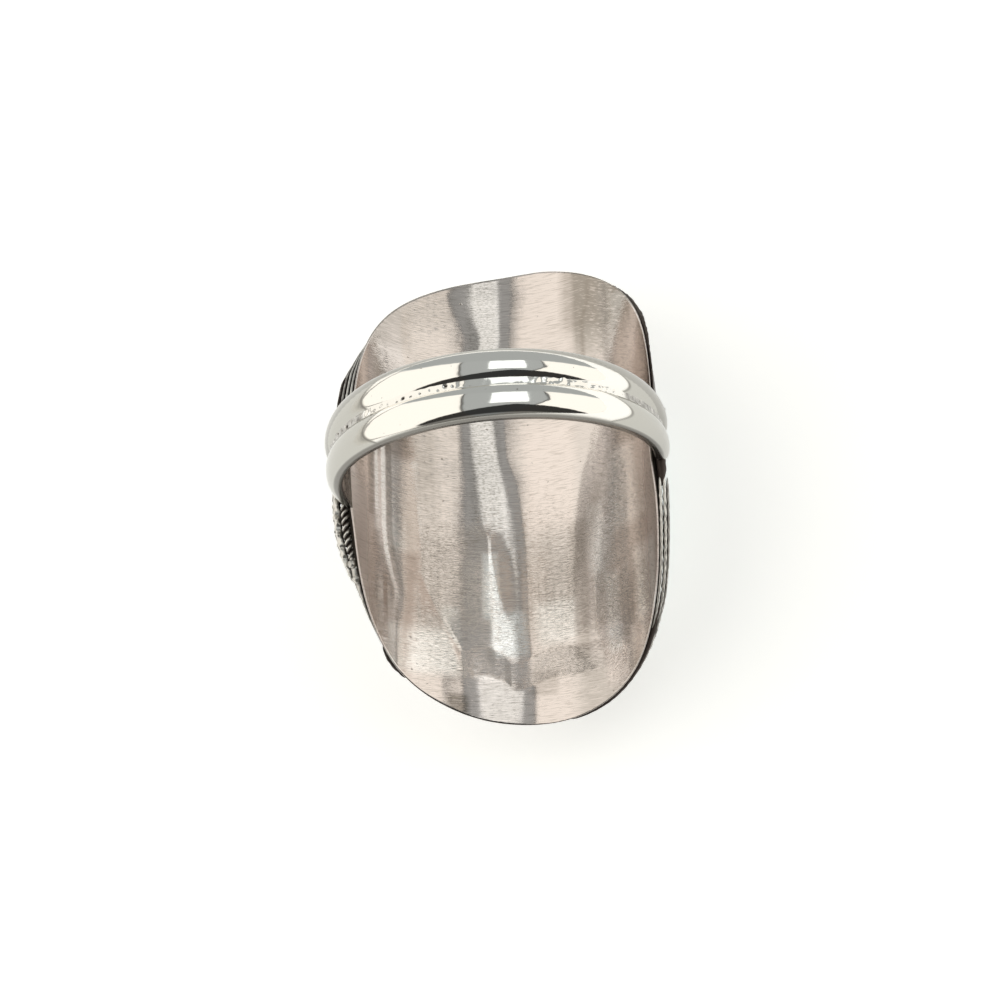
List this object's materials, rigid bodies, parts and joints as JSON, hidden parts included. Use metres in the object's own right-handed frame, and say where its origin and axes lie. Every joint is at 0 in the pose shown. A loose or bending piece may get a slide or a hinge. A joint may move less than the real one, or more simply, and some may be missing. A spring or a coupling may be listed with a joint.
{
  "type": "turquoise ring",
  "caption": "Large silver finger ring lying on its face: a long oval back plate curved round the finger, a band of twin half-round wires, and an oval turquoise in a plain bezel.",
  "frame": {"origin": "middle of the finger hole, on its axis", "axes": "+Y along the finger hole, +Z away from the stone, +X across the band; the ring lies on its stone"},
  "size_m": [0.0213, 0.0309, 0.0241],
  "materials": {
    "silver": "satin",
    "turquoise": "gloss"
  },
  "bodies": {
    "root": {"silver_setting": "silver", "turquoise_stone": "turquoise"}
  },
  "joints": []
}
